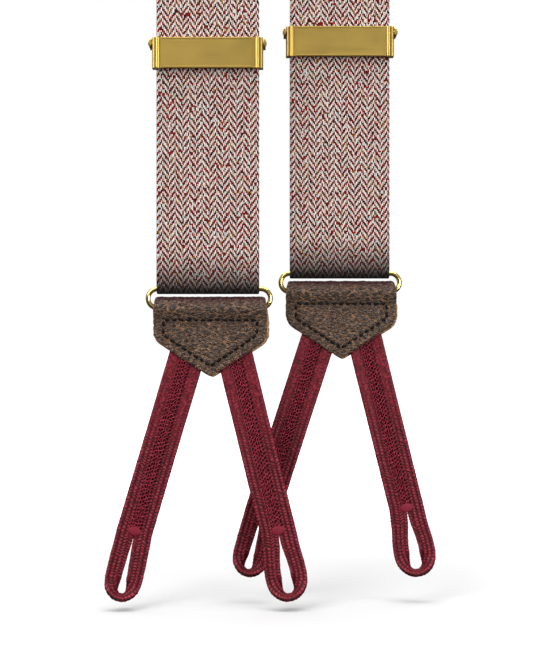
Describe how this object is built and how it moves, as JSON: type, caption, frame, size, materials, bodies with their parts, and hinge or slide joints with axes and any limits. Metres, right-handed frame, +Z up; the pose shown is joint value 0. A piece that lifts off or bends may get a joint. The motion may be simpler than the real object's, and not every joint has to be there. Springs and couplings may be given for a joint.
{
  "type": "button-on suspenders",
  "caption": "Button-on suspenders with herringbone straps, brass lever adjusters and rings, leather ends and braided loops.",
  "frame": {"origin": "on the axis of the round rail that the straps hang over, midway between the two straps", "axes": "+X to the right along the rail, +Y to the back, from the fronts towards the back strap, +Z up"},
  "size_m": [0.1246, 0.0456, 0.7187],
  "materials": {
    "adjuster_brass": "satin",
    "braid": "tubular braid",
    "braid_thread": "dense thread",
    "elastic": "ribbed",
    "leather": "aged grain, semi-matte",
    "lining": "smooth",
    "ring_brass": "polished",
    "strap": "woven herringbone, off-white and burgundy",
    "thread": "waxed thread"
  },
  "bodies": {
    "root": {"left_strap_upper": "strap", "left_strap_front_run": "strap", "right_strap_upper": "strap", "right_strap_front_run": "strap", "yoke_outer": "leather", "yoke_inner": "leather", "yoke_stitching": "thread", "back_elastic": "elastic"},
    "left_loop": {"left_strap_fold": "strap", "left_strap_tail_run": "strap"},
    "left_adjuster": {"left_adjuster_frame": "adjuster_brass", "left_adjuster_pins": "adjuster_brass", "left_strap_tail_wrap": "strap", "left_tail_stitching": "thread"},
    "left_lever": {"left_adjuster_lever": "adjuster_brass"},
    "left_ring": {"left_ring": "ring_brass"},
    "left_end": {"left_leather_end": "leather", "left_end_lining": "lining", "left_leather_stitching": "thread", "left_braid_roots": "braid"},
    "left_outer_tab": {"left_outer_braid": "braid", "left_outer_cover_stitch": "braid_thread", "left_outer_bar_tack": "braid_thread"},
    "left_inner_tab": {"left_inner_braid": "braid", "left_inner_cover_stitch": "braid_thread", "left_inner_bar_tack": "braid_thread"},
    "right_loop": {"right_strap_fold": "strap", "right_strap_tail_run": "strap"},
    "right_adjuster": {"right_adjuster_frame": "adjuster_brass", "right_adjuster_pins": "adjuster_brass", "right_strap_tail_wrap": "strap", "right_tail_stitching": "thread"},
    "right_lever": {"right_adjuster_lever": "adjuster_brass"},
    "right_ring": {"right_ring": "ring_brass"},
    "right_end": {"right_leather_end": "leather", "right_end_lining": "lining", "right_leather_stitching": "thread", "right_braid_roots": "braid"},
    "right_outer_tab": {"right_outer_braid": "braid", "right_outer_cover_stitch": "braid_thread", "right_outer_bar_tack": "braid_thread"},
    "right_inner_tab": {"right_inner_braid": "braid", "right_inner_cover_stitch": "braid_thread", "right_inner_bar_tack": "braid_thread"},
    "back_end": {"back_end_outer": "leather", "back_end_inner": "leather", "back_end_stitching": "thread", "back_braid_roots": "braid"},
    "back_left_tab": {"back_left_braid": "braid", "back_left_cover_stitch": "braid_thread", "back_left_bar_tack": "braid_thread"},
    "back_right_tab": {"back_right_braid": "braid", "back_right_cover_stitch": "braid_thread", "back_right_bar_tack": "braid_thread"}
  },
  "joints": [
    {"name": "left_take_up", "type": "slide", "parent": "root", "child": "left_loop", "axis": [0, 0, 1], "range_m": [-0.03, 0.06], "deforming": ["left_strap_front_run"]},
    {"name": "left_adjuster_slide", "type": "slide", "parent": "left_loop", "child": "left_adjuster", "axis": [0, 0, 1], "range_m": [-0.03, 0.06], "deforming": ["left_strap_tail_run"]},
    {"name": "left_lever_pivot", "type": "hinge", "parent": "left_adjuster", "child": "left_lever", "pos_m": [-0.0248, -0.0251, -0.49685], "axis": [1, 0, 0], "range_deg": [-80, 0]},
    {"name": "left_ring_hinge", "type": "hinge", "parent": "left_loop", "child": "left_ring", "pos_m": [-0.0248, -0.021, -0.58715], "axis": [1, 0, 0], "range_deg": [-45, 0]},
    {"name": "left_end_hinge", "type": "hinge", "parent": "left_ring", "child": "left_end", "pos_m": [-0.0248, -0.021, -0.5942], "axis": [1, 0, 0], "range_deg": [-45, 0]},
    {"name": "left_outer_tab_swing", "type": "hinge", "parent": "left_end", "child": "left_outer_tab", "pos_m": [-0.03419, -0.021, -0.6173], "axis": [0.9583, 0, -0.2857], "range_deg": [-45, 45]},
    {"name": "left_inner_tab_swing", "type": "hinge", "parent": "left_end", "child": "left_inner_tab", "pos_m": [-0.0135, -0.021, -0.61727], "axis": [0.9711, 0, 0.2385], "range_deg": [-45, 0]},
    {"name": "right_take_up", "type": "slide", "parent": "root", "child": "right_loop", "axis": [0, 0, 1], "range_m": [-0.03, 0.06], "deforming": ["right_strap_front_run"]},
    {"name": "right_adjuster_slide", "type": "slide", "parent": "right_loop", "child": "right_adjuster", "axis": [0, 0, 1], "range_m": [-0.03, 0.06], "deforming": ["right_strap_tail_run"]},
    {"name": "right_lever_pivot", "type": "hinge", "parent": "right_adjuster", "child": "right_lever", "pos_m": [0.0248, -0.0111, -0.48935], "axis": [1, 0, 0], "range_deg": [-80, 0]},
    {"name": "right_ring_hinge", "type": "hinge", "parent": "right_loop", "child": "right_ring", "pos_m": [0.0248, -0.007, -0.58075], "axis": [1, 0, 0], "range_deg": [0, 45]},
    {"name": "right_end_hinge", "type": "hinge", "parent": "right_ring", "child": "right_end", "pos_m": [0.0248, -0.007, -0.5878], "axis": [1, 0, 0], "range_deg": [0, 45]},
    {"name": "right_outer_tab_swing", "type": "hinge", "parent": "right_end", "child": "right_outer_tab", "pos_m": [0.0357, -0.007, -0.61087], "axis": [0.9707, 0, 0.2402], "range_deg": [-45, 45]},
    {"name": "right_inner_tab_swing", "type": "hinge", "parent": "right_end", "child": "right_inner_tab", "pos_m": [0.01507, -0.007, -0.61092], "axis": [0.9511, 0, -0.309], "range_deg": [0, 45]},
    {"name": "back_stretch", "type": "slide", "parent": "root", "child": "back_end", "axis": [0, 0, -1], "range_m": [0, 0.04], "stiffness_N_per_m": 250, "deforming": ["back_elastic"]},
    {"name": "back_left_tab_swing", "type": "hinge", "parent": "back_end", "child": "back_left_tab", "pos_m": [-0.01035, 0.016, -0.29429], "axis": [0.9659, 0, -0.2588], "range_deg": [-8, 60]},
    {"name": "back_right_tab_swing", "type": "hinge", "parent": "back_end", "child": "back_right_tab", "pos_m": [0.01035, 0.016, -0.29429], "axis": [0.9659, 0, 0.2588], "range_deg": [-8, 60]}
  ],
  "couplings": [
    {"joint": "left_adjuster_slide", "follows": "left_take_up", "ratio": 1},
    {"joint": "right_adjuster_slide", "follows": "right_take_up", "ratio": 1}
  ]
}
